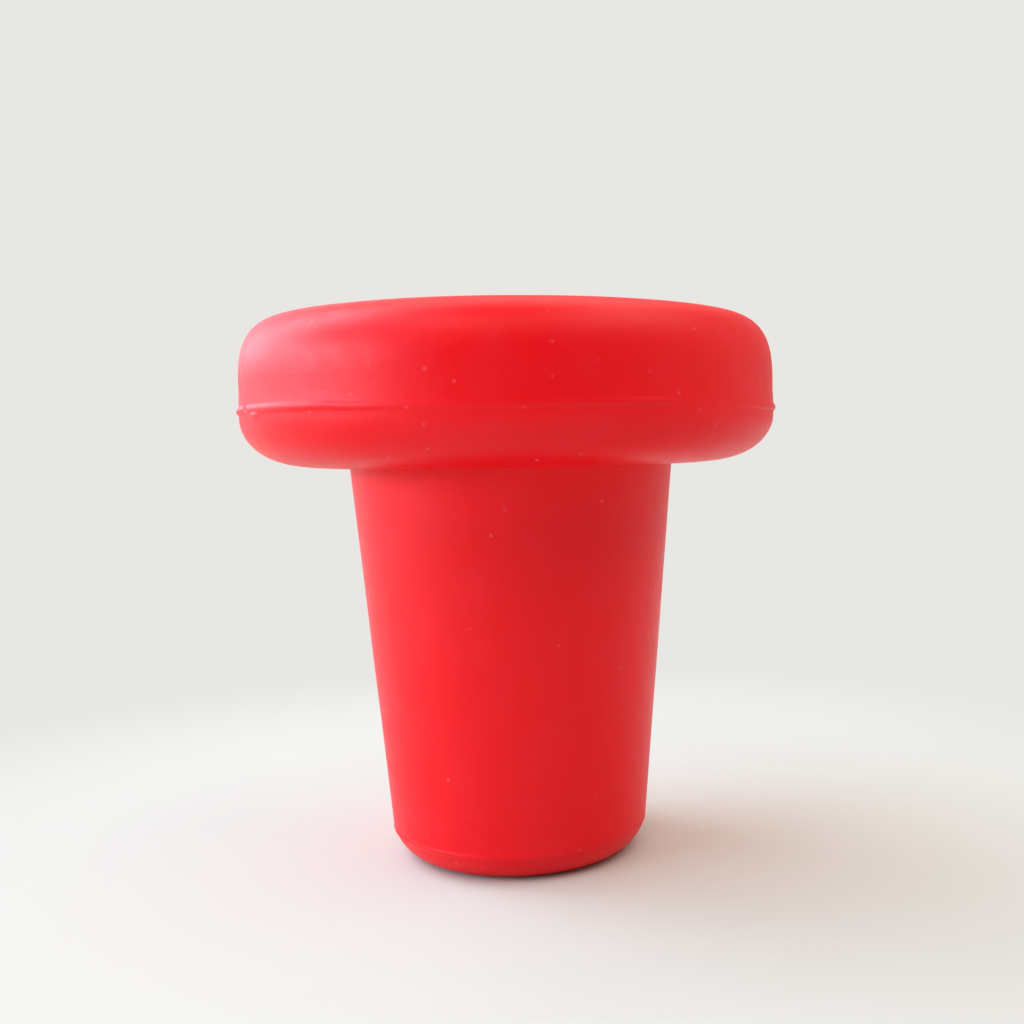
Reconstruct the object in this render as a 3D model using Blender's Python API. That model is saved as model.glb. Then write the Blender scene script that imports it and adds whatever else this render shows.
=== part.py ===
"""Silicone wine stopper, moulded in one piece.

A tapered plug squeezes into the opening that it seals, and a round cap with a full, soft
edge covers the rim and gives the fingers a hold. The mould leaves two fine raised marks:
a parting ridge round the side of the cap, where its halves met, and a finer one on the
rounded edge of the foot, where the insert for the end of the plug sat.

Units are metres and +Z is up. The origin is at the centre of the foot that it stands on,
and the whole form is turned about Z.
"""
import math

import bmesh
import bpy

# Plug
PLUG_LENGTH = 0.0271            # foot to the underside of the cap
PLUG_FOOT_DIAMETER = 0.0175     # the taper carried down to the foot, before its edge is rounded
PLUG_NECK_DIAMETER = 0.0221     # under the cap
FOOT_EDGE_RADIUS = 0.0024

# Cap
CAP_DIAMETER = 0.0360           # at the parting line
CAP_HEIGHT = 0.00975            # underside to the top of the rounded edge
CROWN_RISE = 0.0004             # how far the middle of the top stands over a flat one
SIDE_HEIGHT = 0.0007            # nearly straight side, above the parting ridge
SIDE_DRAFT = 0.00004            # taken off the radius over that side, so the mould lets go
LOWER_EDGE_WIDTH = 0.0050       # inwards from the side, at the underside
UPPER_EDGE_WIDTH = 0.0044       # inwards from the side, at the top
LOWER_EDGE_FULLNESS = 2.4       # 2 is a plain ellipse, and more is squarer
UPPER_EDGE_FULLNESS = 3.15

# Marks that the mould leaves
PARTING_HEIGHT = 0.00375        # underside to the line where the mould's halves met
PARTING_RIDGE_HEIGHT = 0.0007
PARTING_RIDGE_PROUD = 0.00016
FOOT_MARK_DROP = 0.00035        # below the top of the foot's rounded edge
FOOT_MARK_WIDTH = 0.0003
FOOT_MARK_PROUD = 0.00005

# Fineness of the turned form
SEGMENTS_ROUND = 72
STEPS_FOOT_EDGE = 5
STEPS_LOWER_EDGE = 9
STEPS_UPPER_EDGE = 13
STEPS_CROWN = 5
STEPS_MARK = 4
SMOOTH_UP_TO = math.radians(35)
MERGE_DISTANCE = 1e-6

# Silicone
SILICONE_COLOUR = (0.74, 0.010, 0.012, 1.0)
SILICONE_ROUGHNESS = 0.45


def fractions(steps):
    """Even steps from 0 to 1, both ends included."""
    return [step / steps for step in range(steps + 1)]


def bulge(part):
    """How far a mould mark stands out across its width: nothing at its ends, all at its middle."""
    return math.sin(math.pi * part)


def soft_corner(width, height, fullness, steps):
    """A rounded corner as (inwards, up) offsets: from the level side at (0, 0) to (width, height).

    It is a quarter of a superellipse, upright where it leaves the side and level where it ends.
    """
    corner = []
    for part in fractions(steps):
        angle = part * math.pi / 2
        inwards = width * (1 - math.cos(angle) ** (2 / fullness))
        up = height * math.sin(angle) ** (2 / fullness)
        corner.append((inwards, up))
    return corner


def plug_outline():
    """The foot, its rounded edge with the fine mark across it, and the taper up to the cap."""
    taper = math.atan((PLUG_NECK_DIAMETER - PLUG_FOOT_DIAMETER) / 2 / PLUG_LENGTH)
    centre = PLUG_FOOT_DIAMETER / 2 - FOOT_EDGE_RADIUS * (1 - math.sin(taper)) / math.cos(taper)

    def on_edge(angle, proud=0.0):
        reach = FOOT_EDGE_RADIUS + proud
        return centre + reach * math.cos(angle), FOOT_EDGE_RADIUS + reach * math.sin(angle)

    mark_middle = math.asin(-math.sin(taper) - FOOT_MARK_DROP / FOOT_EDGE_RADIUS)
    mark_turn = FOOT_MARK_WIDTH / FOOT_EDGE_RADIUS
    mark_start = mark_middle - mark_turn / 2
    foot = -math.pi / 2
    outline = [on_edge(foot + (mark_start - foot) * part) for part in fractions(STEPS_FOOT_EDGE)]
    outline += [on_edge(mark_start + mark_turn * part, FOOT_MARK_PROUD * bulge(part))
                for part in fractions(STEPS_MARK)[1:]]
    outline.append(on_edge(-taper))
    outline.append((PLUG_NECK_DIAMETER / 2, PLUG_LENGTH))
    return outline


def crown_lift(radius):
    """Height that the crown adds at a radius: all of it in the middle, and none at the side."""
    return CROWN_RISE * (1 - (2 * radius / CAP_DIAMETER) ** 2)


def cap_outline():
    """The lower edge, the parting ridge, the side, the upper edge and the crown."""
    side = CAP_DIAMETER / 2
    ridge_foot = PLUG_LENGTH + PARTING_HEIGHT - PARTING_RIDGE_HEIGHT / 2
    lower_edge = soft_corner(LOWER_EDGE_WIDTH, ridge_foot - PLUG_LENGTH, LOWER_EDGE_FULLNESS, STEPS_LOWER_EDGE)
    outline = [(side - inwards, ridge_foot - down) for inwards, down in reversed(lower_edge)]
    outline += [(side + PARTING_RIDGE_PROUD * bulge(part), ridge_foot + PARTING_RIDGE_HEIGHT * part)
                for part in fractions(STEPS_MARK)[1:]]

    side -= SIDE_DRAFT
    side_top = ridge_foot + PARTING_RIDGE_HEIGHT + SIDE_HEIGHT
    edge_height = PLUG_LENGTH + CAP_HEIGHT - side_top
    for inwards, up in soft_corner(UPPER_EDGE_WIDTH, edge_height, UPPER_EDGE_FULLNESS, STEPS_UPPER_EDGE):
        radius = side - inwards
        outline.append((radius, side_top + up + crown_lift(radius) * up / edge_height))

    top_radius = side - UPPER_EDGE_WIDTH
    for part in fractions(STEPS_CROWN)[1:]:
        radius = top_radius * (1 - part)
        outline.append((radius, PLUG_LENGTH + CAP_HEIGHT + crown_lift(radius)))
    return outline


def silicone():
    material = bpy.data.materials.new("silicone")
    material.use_nodes = True
    shader = material.node_tree.nodes["Principled BSDF"]
    shader.inputs["Base Color"].default_value = SILICONE_COLOUR
    shader.inputs["Roughness"].default_value = SILICONE_ROUGHNESS
    shader.inputs["Metallic"].default_value = 0.0
    material.diffuse_color = SILICONE_COLOUR
    return material


def turned(name, outline, material):
    """Turn an outline that ends on the axis about Z, and close the flat foot with one face."""
    form = bmesh.new()
    points = [form.verts.new((radius, 0, height)) for radius, height in outline]
    edges = [form.edges.new(pair) for pair in zip(points, points[1:])]
    bmesh.ops.spin(form, geom=points + edges, cent=(0, 0, 0), axis=(0, 0, 1), angle=2 * math.pi,
                   steps=SEGMENTS_ROUND, use_merge=True)
    bmesh.ops.remove_doubles(form, verts=form.verts, dist=MERGE_DISTANCE)
    bmesh.ops.holes_fill(form, edges=[edge for edge in form.edges if edge.is_boundary], sides=0)
    bmesh.ops.recalc_face_normals(form, faces=form.faces)

    mesh = bpy.data.meshes.new(name)
    form.to_mesh(mesh)
    form.free()
    mesh.materials.append(material)
    mesh.shade_smooth()
    mesh.set_sharp_from_angle(angle=SMOOTH_UP_TO)
    piece = bpy.data.objects.new(name, mesh)
    bpy.context.scene.collection.objects.link(piece)
    return piece


for leftover in list(bpy.data.objects):
    bpy.data.objects.remove(leftover, do_unlink=True)
turned("stopper", plug_outline() + cap_outline(), silicone())
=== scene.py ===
import math

import bmesh
import bpy
from mathutils import Matrix, Vector, noise


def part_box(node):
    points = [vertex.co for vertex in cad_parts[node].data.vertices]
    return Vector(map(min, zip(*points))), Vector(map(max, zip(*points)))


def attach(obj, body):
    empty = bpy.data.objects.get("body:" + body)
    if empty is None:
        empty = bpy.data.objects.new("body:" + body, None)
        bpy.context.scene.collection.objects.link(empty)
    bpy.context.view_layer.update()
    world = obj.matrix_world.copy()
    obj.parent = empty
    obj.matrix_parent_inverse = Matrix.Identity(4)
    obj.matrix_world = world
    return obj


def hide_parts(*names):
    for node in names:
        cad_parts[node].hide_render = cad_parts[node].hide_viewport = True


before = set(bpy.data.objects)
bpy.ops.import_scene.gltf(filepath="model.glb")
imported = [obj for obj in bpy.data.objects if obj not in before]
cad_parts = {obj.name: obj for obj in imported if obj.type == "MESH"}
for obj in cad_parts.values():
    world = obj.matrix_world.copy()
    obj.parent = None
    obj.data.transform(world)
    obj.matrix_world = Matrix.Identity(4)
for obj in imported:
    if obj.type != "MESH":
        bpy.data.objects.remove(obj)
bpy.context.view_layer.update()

# The stopper: one piece of soft red silicone, a tapered plug under a round cap with full, soft edges. It is
# pressed in a mould of two halves and an end piece, which leave a ridge round the cap and a finer mark round
# the foot. Both come and go, and at one side a sliver of flash hangs on beside a small nick in the ridge.
top_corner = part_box("stopper")[1]
PLUG_LENGTH = 0.0271            # foot to the underside of the cap
PLUG_FOOT_RADIUS = 0.00875      # the taper carried down to the foot, before its edge is rounded
PLUG_NECK_RADIUS = 0.01105      # under the cap
PLUG_TAPER = math.atan((PLUG_NECK_RADIUS - PLUG_FOOT_RADIUS) / PLUG_LENGTH)

FOOT_EDGE_RADIUS = 0.0026
FOOT_EDGE_START = math.radians(14.5)    # the slight corner where it leaves the flat end
FOOT_EDGE_HEIGHT = FOOT_EDGE_RADIUS * math.cos(FOOT_EDGE_START)
FOOT_EDGE_CENTRE = (PLUG_FOOT_RADIUS + FOOT_EDGE_HEIGHT * math.tan(PLUG_TAPER)
                    - FOOT_EDGE_RADIUS / math.cos(PLUG_TAPER))
FOOT_MARK_DROP = 0.00039        # below the top of the foot's rounded edge
FOOT_MARK_HEIGHT = FOOT_EDGE_HEIGHT - FOOT_EDGE_RADIUS * math.sin(PLUG_TAPER) - FOOT_MARK_DROP
FOOT_MARK_WIDTH = 0.0003
FOOT_MARK_PROUD = 0.0001

PARTING_RISE = 0.00375          # underside to the line where the mould's halves met
PARTING_HEIGHT = PLUG_LENGTH + PARTING_RISE
RIDGE_HEIGHT = 0.0007
RIDGE_PROUD = 0.00016
RIDGE_RAMP = 0.45               # the share of its height over which it rises, from below and from above
CAP_RADIUS = top_corner.x - RIDGE_PROUD
CROWN_RISE = 0.0004             # how far the middle of the top stands over a flat one
RIM_HEIGHT = top_corner.z - CROWN_RISE
SIDE_HEIGHT = 0.0007            # nearly straight side, above the ridge
SIDE_DRAFT = 0.00004            # taken off the radius over that side, so the mould lets go
LOWER_EDGE_WIDTH = 0.0050       # inwards from the side, at the underside
UPPER_EDGE_WIDTH = 0.0044       # inwards from the side, at the top
LOWER_EDGE_FULLNESS = 2.28      # 2 is a plain ellipse, and more is squarer
UPPER_EDGE_FULLNESS = 3.15

# Fineness of the turned form
SEGMENTS_ROUND = 576
STEPS_FLAT_END = 4
STEPS_FOOT_EDGE = 46
STEPS_TAPER = 26
STEPS_UNDERSIDE = 3
STEPS_LOWER_EDGE = 24
STEPS_RIDGE = 20
STEPS_UPPER_EDGE = 34
STEPS_CROWN = 14
MERGE_DISTANCE = 1e-7
SHARP_CORNER = math.radians(60)     # only the corner under the cap is sharper


def fractions(steps):
    """Even steps from 0 to 1, both ends included."""
    return [step / steps for step in range(steps + 1)]


def soft_corner(width, height, fullness, steps):
    """A quarter of a superellipse as (inwards, up) offsets from the side."""
    quarter = [part * math.pi / 2 for part in fractions(steps)]
    return [(width * (1 - math.cos(angle) ** (2 / fullness)), height * math.sin(angle) ** (2 / fullness))
            for angle in quarter]


def plug_outline():
    """The flat end from its middle, its rounded edge, and the taper up to the cap."""
    flat_end = FOOT_EDGE_CENTRE + FOOT_EDGE_RADIUS * math.sin(FOOT_EDGE_START)
    outline = [(flat_end * part, 0.0) for part in fractions(STEPS_FLAT_END)[:-1]]
    start = FOOT_EDGE_START - math.pi / 2
    for part in fractions(STEPS_FOOT_EDGE):
        angle = start - (start + PLUG_TAPER) * part
        outline.append((FOOT_EDGE_CENTRE + FOOT_EDGE_RADIUS * math.cos(angle),
                        FOOT_EDGE_HEIGHT + FOOT_EDGE_RADIUS * math.sin(angle)))
    start_radius, start_height = outline[-1]
    for part in fractions(STEPS_TAPER)[1:]:
        outline.append((start_radius + (PLUG_NECK_RADIUS - start_radius) * part,
                        start_height + (PLUG_LENGTH - start_height) * part))
    return outline


def crown_lift(radius):
    """How far the domed top stands over a flat one."""
    return CROWN_RISE * (1 - (radius / CAP_RADIUS) ** 2)


def cap_outline():
    """The underside, the lower edge, the ridge's band, the side, the upper edge and the crown."""
    underside = CAP_RADIUS - LOWER_EDGE_WIDTH
    outline = [(PLUG_NECK_RADIUS + (underside - PLUG_NECK_RADIUS) * part, PLUG_LENGTH)
               for part in fractions(STEPS_UNDERSIDE)[1:-1]]
    ridge_foot = PARTING_HEIGHT - RIDGE_HEIGHT / 2
    lower_edge = soft_corner(LOWER_EDGE_WIDTH, ridge_foot - PLUG_LENGTH, LOWER_EDGE_FULLNESS,
                             STEPS_LOWER_EDGE)
    outline += [(CAP_RADIUS - inwards, ridge_foot - down) for inwards, down in reversed(lower_edge)]
    outline += [(CAP_RADIUS, ridge_foot + RIDGE_HEIGHT * part) for part in fractions(STEPS_RIDGE)[1:]]

    side = CAP_RADIUS - SIDE_DRAFT
    side_top = ridge_foot + RIDGE_HEIGHT + SIDE_HEIGHT
    edge_height = RIM_HEIGHT - side_top
    for inwards, up in soft_corner(UPPER_EDGE_WIDTH, edge_height, UPPER_EDGE_FULLNESS, STEPS_UPPER_EDGE):
        radius = side - inwards
        outline.append((radius, side_top + up + crown_lift(radius) * up / edge_height))
    top = side - UPPER_EDGE_WIDTH
    for part in fractions(STEPS_CROWN)[1:]:
        outline.append((top * (1 - part), RIM_HEIGHT + crown_lift(top * (1 - part))))
    return outline


def turned(outline):
    """The outline turned about Z into one closed form with its faces pointing out."""
    form = bmesh.new()
    points = [form.verts.new((radius, 0.0, height)) for radius, height in outline]
    edges = [form.edges.new(pair) for pair in zip(points, points[1:])]
    bmesh.ops.spin(form, geom=points + edges, cent=(0, 0, 0), axis=(0, 0, 1), angle=2 * math.pi,
                   steps=SEGMENTS_ROUND, use_merge=True)
    bmesh.ops.remove_doubles(form, verts=form.verts, dist=MERGE_DISTANCE)
    bmesh.ops.recalc_face_normals(form, faces=form.faces)
    return form


# Stations round the cap: degrees from the front towards the left, how much of the ridge stands there,
# and how far the mould's halves step up or down there, in metres.
RIDGE_STATIONS = (
    (-180, 0.6, 0.00004), (-150, 0.9, 0.0), (-118, 0.5, -0.00008), (-84, 1.0, -0.00024),
    (-64, 0.5, -0.00016), (-50, 0.15, -0.00003), (-34, 0.15, 0.0), (-26, 0.5, 0.0), (-17, 0.3, 0.0),
    (2, 0.22, 0.0), (19, 0.25, -0.00006), (29, 0.4, -0.00002), (37, 0.7, 0.00005), (46, 0.62, 0.00004),
    (60, 0.45, -0.00002), (78, 1.0, -0.0001), (102, 0.8, -0.0001), (132, 0.35, 0.00002),
    (156, 0.8, 0.00006), (180, 0.6, 0.00004))
# The same for the mark on the foot, without a step
MARK_STATIONS = (
    (-180, 0.8), (-140, 0.3), (-95, 0.5), (-55, 0.1), (-24, 0.2), (-4, 0.85), (30, 1.0), (64, 0.9),
    (92, 0.5), (128, 0.9), (155, 0.4), (180, 0.8))
STEP_REACH = 0.0022             # how far above and below the parting line a step is felt
RAGGED_LENGTH = 0.0013          # both marks are slightly ragged along their length
RAGGED_SHARE = 0.22
NICK_TURN = 66                  # degrees round, as for the stations
NICK_HEIGHT = PARTING_HEIGHT + 0.00002
NICK_DEPTH = 0.00012
NICK_LENGTH = 0.0005
NICK_TALL = 0.0002
SLIVER_TURN = 59.5
SLIVER_HEIGHT = PARTING_HEIGHT - 0.00034
SLIVER_PROUD = 0.00011
SLIVER_LENGTH = 0.0007
SLIVER_TALL = 0.00012
WAVE_LENGTH = 0.0055            # the moulded surface is very slightly wavy
WAVE_HEIGHT = 0.000022
TOUCHING = 1e-6                 # nearer than this to the flat end or the axis counts as on it


def smooth(part):
    """A share from 0 to 1 that leaves both of its ends gently."""
    part = min(max(part, 0.0), 1.0)
    return part * part * (3 - 2 * part)


def along(stations, turn):
    """The stations' values at a turn, eased from one station to the next."""
    for (start, *before), (end, *after) in zip(stations, stations[1:]):
        if start <= turn <= end:
            ease = smooth((turn - start) / (end - start))
            return [first + (second - first) * ease for first, second in zip(before, after)]


def ridge_shape(part):
    """How proud the ridge is across its height: a soft ramp from below and from above."""
    return smooth(part / RIDGE_RAMP) * smooth((1 - part) / RIDGE_RAMP)


def hump(across, width):
    """A soft rise: 1 in the middle, and fading over the width on either side."""
    return math.exp(-(across / width) ** 2)


def patch(turn, height, place_turn, place_height, length, tall):
    """A soft spot on the cap's side: 1 at its middle, and nothing some way off."""
    return hump(math.radians(turn - place_turn) * CAP_RADIUS, length) * hump(height - place_height, tall)


# The plain turned form first, and then the mould's marks and the waviness, point by point
form = turned(plug_outline() + cap_outline())
form.normal_update()
for point in form.verts:
    place = point.co.copy()
    if place.z < TOUCHING or place.xy.length < TOUCHING:
        continue
    turn = math.degrees(math.atan2(-place.x, -place.y))
    out = Vector((place.x, place.y, 0.0)).normalized()
    ragged = 1 + RAGGED_SHARE * noise.noise(place / RAGGED_LENGTH)
    from_mark = place.z - FOOT_MARK_HEIGHT
    if abs(from_mark) < FOOT_MARK_WIDTH:
        share = along(MARK_STATIONS, turn)[0]
        point.co += point.normal * FOOT_MARK_PROUD * share * ragged * hump(from_mark, FOOT_MARK_WIDTH / 2)
    from_parting = place.z - PARTING_HEIGHT
    if abs(from_parting) < STEP_REACH:
        share, step = along(RIDGE_STATIONS, turn)
        sliver = patch(turn, place.z, SLIVER_TURN, SLIVER_HEIGHT, SLIVER_LENGTH, SLIVER_TALL)
        nick = patch(turn, place.z, NICK_TURN, NICK_HEIGHT, NICK_LENGTH, NICK_TALL)
        point.co += out * RIDGE_PROUD * share * ragged * ridge_shape(from_parting / RIDGE_HEIGHT + 0.5)
        point.co.z += step * (1 - (from_parting / STEP_REACH) ** 2) ** 2
        point.co += out * SLIVER_PROUD * sliver
        point.co -= out * NICK_DEPTH * nick
    wave = WAVE_HEIGHT * noise.noise(place / WAVE_LENGTH)
    point.co += point.normal * wave * min(place.z / FOOT_EDGE_RADIUS, 1.0)
mesh = bpy.data.meshes.new("stopper_silicone")
form.to_mesh(mesh)
form.free()
mesh.shade_smooth()
mesh.set_sharp_from_angle(angle=SHARP_CORNER)
stopper = bpy.data.objects.new("stopper_silicone", mesh)
bpy.context.scene.collection.objects.link(stopper)

SILICONE_RED = (0.835, 0.0, 0.005, 1.0)
BLOOM_RED = (0.835, 0.003, 0.011, 1.0)      # where soft silicone has a faint, cloudy bloom
DUST_PINK = (0.84, 0.22, 0.24, 1.0)
SILICONE_IOR = 1.41
SILICONE_SPECULAR = 0.34
BLOOM_SCALE = 330               # features to the metre, as in the scales below
BLOOM_STARTS = 0.42             # noise at which the bloom starts, and at which it is full
BLOOM_FULL = 0.7
SATIN_SCALE = 900
SATIN_LOW = 0.3                 # noise at which the silicone is smoothest, and at which it is roughest
SATIN_HIGH = 0.7
SMOOTHEST = 0.39
ROUGHEST = 0.46
GRAIN_SCALE = 5200
COARSE_GRAIN_SCALE = 1300
COARSE_GRAIN_SHARE = 0.6
GRAIN_DEPTH = 0.000009
DUST_SPACING = 0.0014           # round specks of dust, and longer, leaning ones of lint
DUST_RADIUS = 0.00017
LINT_SPACING = 0.0030
LINT_RADIUS = 0.00009
LINT_STRETCH = 5.0
LINT_LEAN = 0.7
DUST_COVER = 0.6                # how much of the red a speck hides
DUST_ROUGHNESS = 0.2            # added where a speck lies
DUST_RELIEF = 0.6
DUST_THICKNESS = 0.000006
BARE_CHANCE = 0.35              # the share of places that get no speck

silicone = bpy.data.materials.new("red_silicone")
silicone.use_nodes = True
nodes = silicone.node_tree.nodes
links = silicone.node_tree.links
shader = nodes["Principled BSDF"]
shader.inputs["IOR"].default_value = SILICONE_IOR
shader.inputs["Specular IOR Level"].default_value = SILICONE_SPECULAR
surface = nodes.new("ShaderNodeTexCoord").outputs["Object"]


# Each of these adds to the material or world that nodes and links belong to when it is called.
def cloud(scale, detail):
    """Soft noise over the surface."""
    texture = nodes.new("ShaderNodeTexNoise")
    texture.inputs["Scale"].default_value = scale
    texture.inputs["Detail"].default_value = detail
    links.new(surface, texture.inputs["Vector"])
    return texture.outputs["Fac"]


def ranged(value, start, end, low, high):
    """The value carried from start..end to low..high, and held there."""
    remap = nodes.new("ShaderNodeMapRange")
    remap.inputs["From Min"].default_value = start
    remap.inputs["From Max"].default_value = end
    remap.inputs["To Min"].default_value = low
    remap.inputs["To Max"].default_value = high
    links.new(value, remap.inputs["Value"])
    return remap.outputs["Result"]


def reckon(operation, first, second):
    """Two values added or multiplied, or the larger of the two, each a number or a socket."""
    step = nodes.new("ShaderNodeMath")
    step.operation = operation
    for socket, value in zip(step.inputs, (first, second)):
        if isinstance(value, float):
            socket.default_value = value
        else:
            links.new(value, socket)
    return step.outputs["Value"]


def blended(share, first, second):
    """The first colour, with a share of the second laid over it."""
    mix = nodes.new("ShaderNodeMix")
    mix.data_type = "RGBA"
    links.new(share, mix.inputs["Factor"])
    for socket, value in ((mix.inputs["A"], first), (mix.inputs["B"], second)):
        if isinstance(value, tuple):
            socket.default_value = value
        else:
            links.new(value, socket)
    return mix.outputs["Result"]


def specks(spacing, radius, stretch, lean):
    """Soft dots of at most a radius, about a spacing apart and some fainter than others, drawn out along Z
    by the stretch and leant over by an angle.
    """
    mapping = nodes.new("ShaderNodeMapping")
    mapping.inputs["Rotation"].default_value = (0.0, lean, 0.0)
    mapping.inputs["Scale"].default_value = (1 / spacing, 1 / spacing, 1 / spacing / stretch)
    links.new(surface, mapping.inputs["Vector"])
    cells = nodes.new("ShaderNodeTexVoronoi")
    cells.inputs["Scale"].default_value = 1.0
    links.new(mapping.outputs["Vector"], cells.inputs["Vector"])
    chance = nodes.new("ShaderNodeSeparateColor")
    links.new(cells.outputs["Color"], chance.inputs["Color"])
    dots = ranged(cells.outputs["Distance"], radius / spacing, 0.0, 0.0, 1.0)
    return reckon("MULTIPLY", dots, ranged(chance.outputs["Red"], BARE_CHANCE, 1.0, 0.0, 1.0))


def bumped(height, strength, distance):
    """A relief of the given height in the shading of the surface."""
    bump = nodes.new("ShaderNodeBump")
    bump.inputs["Strength"].default_value = strength
    bump.inputs["Distance"].default_value = distance
    links.new(height, bump.inputs["Height"])
    return bump


bloom = ranged(cloud(BLOOM_SCALE, detail=4), BLOOM_STARTS, BLOOM_FULL, 0.0, 1.0)
dust = reckon("MAXIMUM", specks(DUST_SPACING, DUST_RADIUS, stretch=1.0, lean=0.0),
              specks(LINT_SPACING, LINT_RADIUS, LINT_STRETCH, LINT_LEAN))
colour = blended(bloom, SILICONE_RED, BLOOM_RED)
colour = blended(reckon("MULTIPLY", dust, DUST_COVER), colour, DUST_PINK)
links.new(colour, shader.inputs["Base Color"])
satin = ranged(cloud(SATIN_SCALE, detail=5), SATIN_LOW, SATIN_HIGH, SMOOTHEST, ROUGHEST)
links.new(reckon("ADD", satin, reckon("MULTIPLY", dust, DUST_ROUGHNESS)), shader.inputs["Roughness"])
coarse_grain = reckon("MULTIPLY", cloud(COARSE_GRAIN_SCALE, detail=2), COARSE_GRAIN_SHARE)
grain = bumped(reckon("ADD", cloud(GRAIN_SCALE, detail=2), coarse_grain), strength=1.0, distance=GRAIN_DEPTH)
relief = bumped(dust, strength=DUST_RELIEF, distance=DUST_THICKNESS)
links.new(grain.outputs["Normal"], relief.inputs["Normal"])
links.new(relief.outputs["Normal"], shader.inputs["Normal"])
mesh.materials.append(silicone)

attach(stopper, "root")
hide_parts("stopper")

# The floor: one wide, flat, pale satin sheet, which the stopper stands on. Away from the stopper it runs off
# evenly, and the same way all round, to the plain pale tone that the camera sees behind it.
FLOOR_RADIUS = 1.5
FLOOR_SEGMENTS = 96
FLOOR_COLOUR = (0.585, 0.61, 0.56, 1.0)
FLOOR_ROUGHNESS = 0.6
FLOOR_SPECULAR = 0.05
FADE_START = 0.014              # from the stopper's axis, where the floor starts to run off and is gone
FADE_END = 0.07
BACKDROP_COLOUR = (0.807, 0.799, 0.768, 1.0)

form = bmesh.new()
bmesh.ops.create_circle(form, cap_ends=True, segments=FLOOR_SEGMENTS, radius=FLOOR_RADIUS)
mesh = bpy.data.meshes.new("floor")
form.to_mesh(mesh)
form.free()
floor = bpy.data.objects.new("floor", mesh)
bpy.context.scene.collection.objects.link(floor)

sheet = bpy.data.materials.new("pale_satin")
sheet.use_nodes = True
nodes = sheet.node_tree.nodes
links = sheet.node_tree.links
shader = nodes["Principled BSDF"]
shader.inputs["Base Color"].default_value = FLOOR_COLOUR
shader.inputs["Roughness"].default_value = FLOOR_ROUGHNESS
shader.inputs["Specular IOR Level"].default_value = FLOOR_SPECULAR
from_middle = nodes.new("ShaderNodeVectorMath")
from_middle.operation = "LENGTH"
links.new(nodes.new("ShaderNodeTexCoord").outputs["Object"], from_middle.inputs[0])
fade = nodes.new("ShaderNodeMapRange")
fade.interpolation_type = "SMOOTHSTEP"
fade.inputs["From Min"].default_value = FADE_START
fade.inputs["From Max"].default_value = FADE_END
links.new(from_middle.outputs["Value"], fade.inputs["Value"])
light_path = nodes.new("ShaderNodeLightPath")
seen = reckon("MULTIPLY", fade.outputs["Result"], light_path.outputs["Is Camera Ray"])
glow = nodes.new("ShaderNodeEmission")
glow.inputs["Color"].default_value = BACKDROP_COLOUR
mix = nodes.new("ShaderNodeMixShader")
links.new(seen, mix.inputs["Fac"])
links.new(shader.outputs["BSDF"], mix.inputs[1])
links.new(glow.outputs["Emission"], mix.inputs[2])
links.new(mix.outputs["Shader"], nodes["Material Output"].inputs["Surface"])
mesh.materials.append(sheet)

# The light: a studio's broad, soft panels. Cool ones stand at the left, reach down to the floor and go on
# round towards the back. Weaker, warmer ones hang overhead and stand at the right, a dim light comes from
# all round, and the front stays dark.
COOL_LIGHT = (0.80, 1.0, 1.21)
WARM_LIGHT = (1.15, 1.0, 0.93)
DIM_FRONT = 0.15                # strength of the dim light, from the front and from the back
DIM_BACK = 0.5
DIM_FRONT_ENDS = -0.2           # the direction's Y up to which the one holds, and from which the other does
DIM_BACK_STARTS = 0.9
MIDDLE = Vector((0.0, 0.0, 0.02))
LAMP_DISTANCE = 0.84
# Each lamp: degrees from the front towards the left, degrees up, width, height, radiance and colour
LAMPS = {
    "left": (79, 15, 0.78, 0.24, 10.0, COOL_LIGHT),
    "left_back": (124, 16, 0.50, 0.26, 4.5, COOL_LIGHT),
    "back": (158, 18, 0.40, 0.40, 1.1, COOL_LIGHT),
    "upper_left": (80, 50, 0.70, 0.50, 1.5, COOL_LIGHT),
    "upper_back": (118, 42, 0.44, 0.50, 5.3, COOL_LIGHT),
    "overhead_front": (22, 54, 0.50, 0.40, 2.4, WARM_LIGHT),
    "overhead_back": (175, 62, 0.80, 0.50, 1.4, WARM_LIGHT),
    "overhead_right": (290, 58, 0.80, 0.50, 2.3, WARM_LIGHT),
    "right": (275, 20, 1.0, 0.52, 0.5, WARM_LIGHT)}

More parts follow.
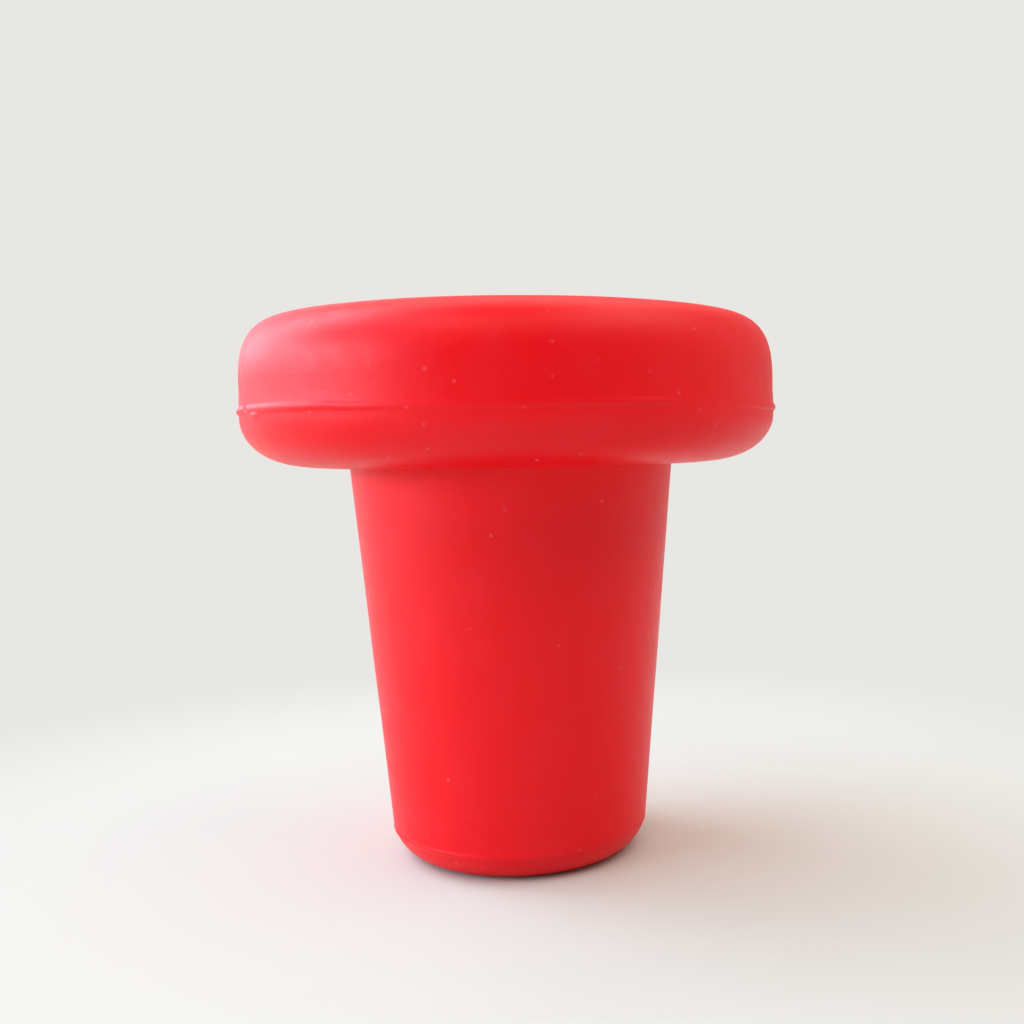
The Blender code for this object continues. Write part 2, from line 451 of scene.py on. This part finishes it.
world = bpy.data.worlds.new("studio")
world.use_nodes = True
bpy.context.scene.world = world
nodes = world.node_tree.nodes
links = world.node_tree.links
dim_light = nodes["Background"]
dim_light.inputs["Color"].default_value = (*WARM_LIGHT, 1.0)
outwards = nodes.new("ShaderNodeSeparateXYZ")
links.new(nodes.new("ShaderNodeTexCoord").outputs["Generated"], outwards.inputs["Vector"])
strength = ranged(outwards.outputs["Y"], DIM_FRONT_ENDS, DIM_BACK_STARTS, DIM_FRONT, DIM_BACK)
links.new(strength, dim_light.inputs["Strength"])
backdrop = nodes.new("ShaderNodeBackground")
backdrop.inputs["Color"].default_value = BACKDROP_COLOUR
light_path = nodes.new("ShaderNodeLightPath")
mix = nodes.new("ShaderNodeMixShader")
links.new(light_path.outputs["Is Camera Ray"], mix.inputs["Fac"])
links.new(dim_light.outputs["Background"], mix.inputs[1])
links.new(backdrop.outputs["Background"], mix.inputs[2])
links.new(mix.outputs["Shader"], nodes["World Output"].inputs["Surface"])

for name, (turn, rise, width, height, radiance, colour) in LAMPS.items():
    lamp = bpy.data.lights.new(name, "AREA")
    lamp.shape = "RECTANGLE"
    lamp.size = width
    lamp.size_y = height
    # A panel gives its radiance times pi from each square metre
    lamp.energy = radiance * math.pi * width * height
    lamp.color = colour
    holder = bpy.data.objects.new(name, lamp)
    turn = math.radians(turn)
    rise = math.radians(rise)
    outward = Vector((-math.sin(turn) * math.cos(rise), -math.cos(turn) * math.cos(rise), math.sin(rise)))
    holder.location = outward * LAMP_DISTANCE
    holder.rotation_euler = (MIDDLE - holder.location).to_track_quat("-Z", "Y").to_euler()
    holder.visible_camera = False
    bpy.context.scene.collection.objects.link(holder)

# The camera: low and close in front of the stopper, level with the lower part of the cap, and turned
# slightly down and to the right. Its shift frames the stopper as the photograph does.
CAMERA_DISTANCE = 0.085
CAMERA_HEIGHT = 0.02937
CAMERA_TURN = math.radians(5.06)
CAMERA_PITCH = math.radians(6.02)
CAMERA_ROLL = math.radians(0.855)
camera = bpy.data.cameras.new("camera")
camera.lens = 42.715
camera.sensor_width = 36.0
camera.shift_x = -0.1071
camera.shift_y = 0.0431
camera.clip_start = 0.005
holder = bpy.data.objects.new("camera", camera)
holder.matrix_world = (Matrix.Translation((0.0, -CAMERA_DISTANCE, CAMERA_HEIGHT))
                       @ Matrix.Rotation(-CAMERA_TURN, 4, "Z")
                       @ Matrix.Rotation(math.pi / 2 - CAMERA_PITCH, 4, "X")
                       @ Matrix.Rotation(-CAMERA_ROLL, 4, "Z"))
bpy.context.scene.collection.objects.link(holder)
bpy.context.scene.camera = holder
bpy.context.scene.view_settings.view_transform = "Standard"
